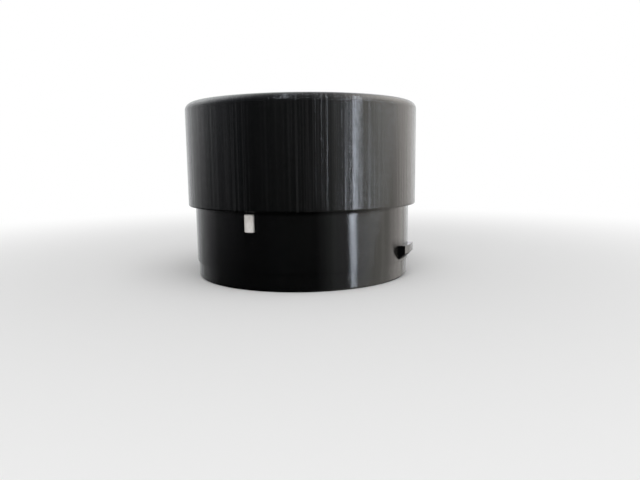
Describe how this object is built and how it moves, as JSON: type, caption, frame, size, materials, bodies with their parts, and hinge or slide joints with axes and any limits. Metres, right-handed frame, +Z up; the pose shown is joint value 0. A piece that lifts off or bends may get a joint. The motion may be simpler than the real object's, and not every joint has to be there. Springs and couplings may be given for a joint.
{
  "type": "single dose hopper",
  "caption": "Round black hopper for a single dose of coffee beans: a cup with a funnel and keyed collar under a deep lift-off lid, with a small white pointer on its neck.",
  "frame": {"origin": "on the hopper's axis at the foot of its collar, on the surface it stands on", "axes": "+Z up along the hopper's axis towards the lid, -Y towards the white pointer, the wide lug on -X and the narrow lug on +X"},
  "size_m": [0.085, 0.085, 0.0625],
  "materials": {
    "body_plastic": "smooth black plastic",
    "lid_plastic": "printed black plastic with fine upright lines",
    "pointer_plastic": "off-white plastic"
  },
  "bodies": {
    "hopper": {"hopper_body": "body_plastic", "pointer": "pointer_plastic"},
    "lid": {"lid": "lid_plastic"}
  },
  "joints": [
    {"name": "lid_lift", "type": "slide", "parent": "hopper", "child": "lid", "axis": [0, 0, 1], "range_m": [0, 0.06]}
  ]
}
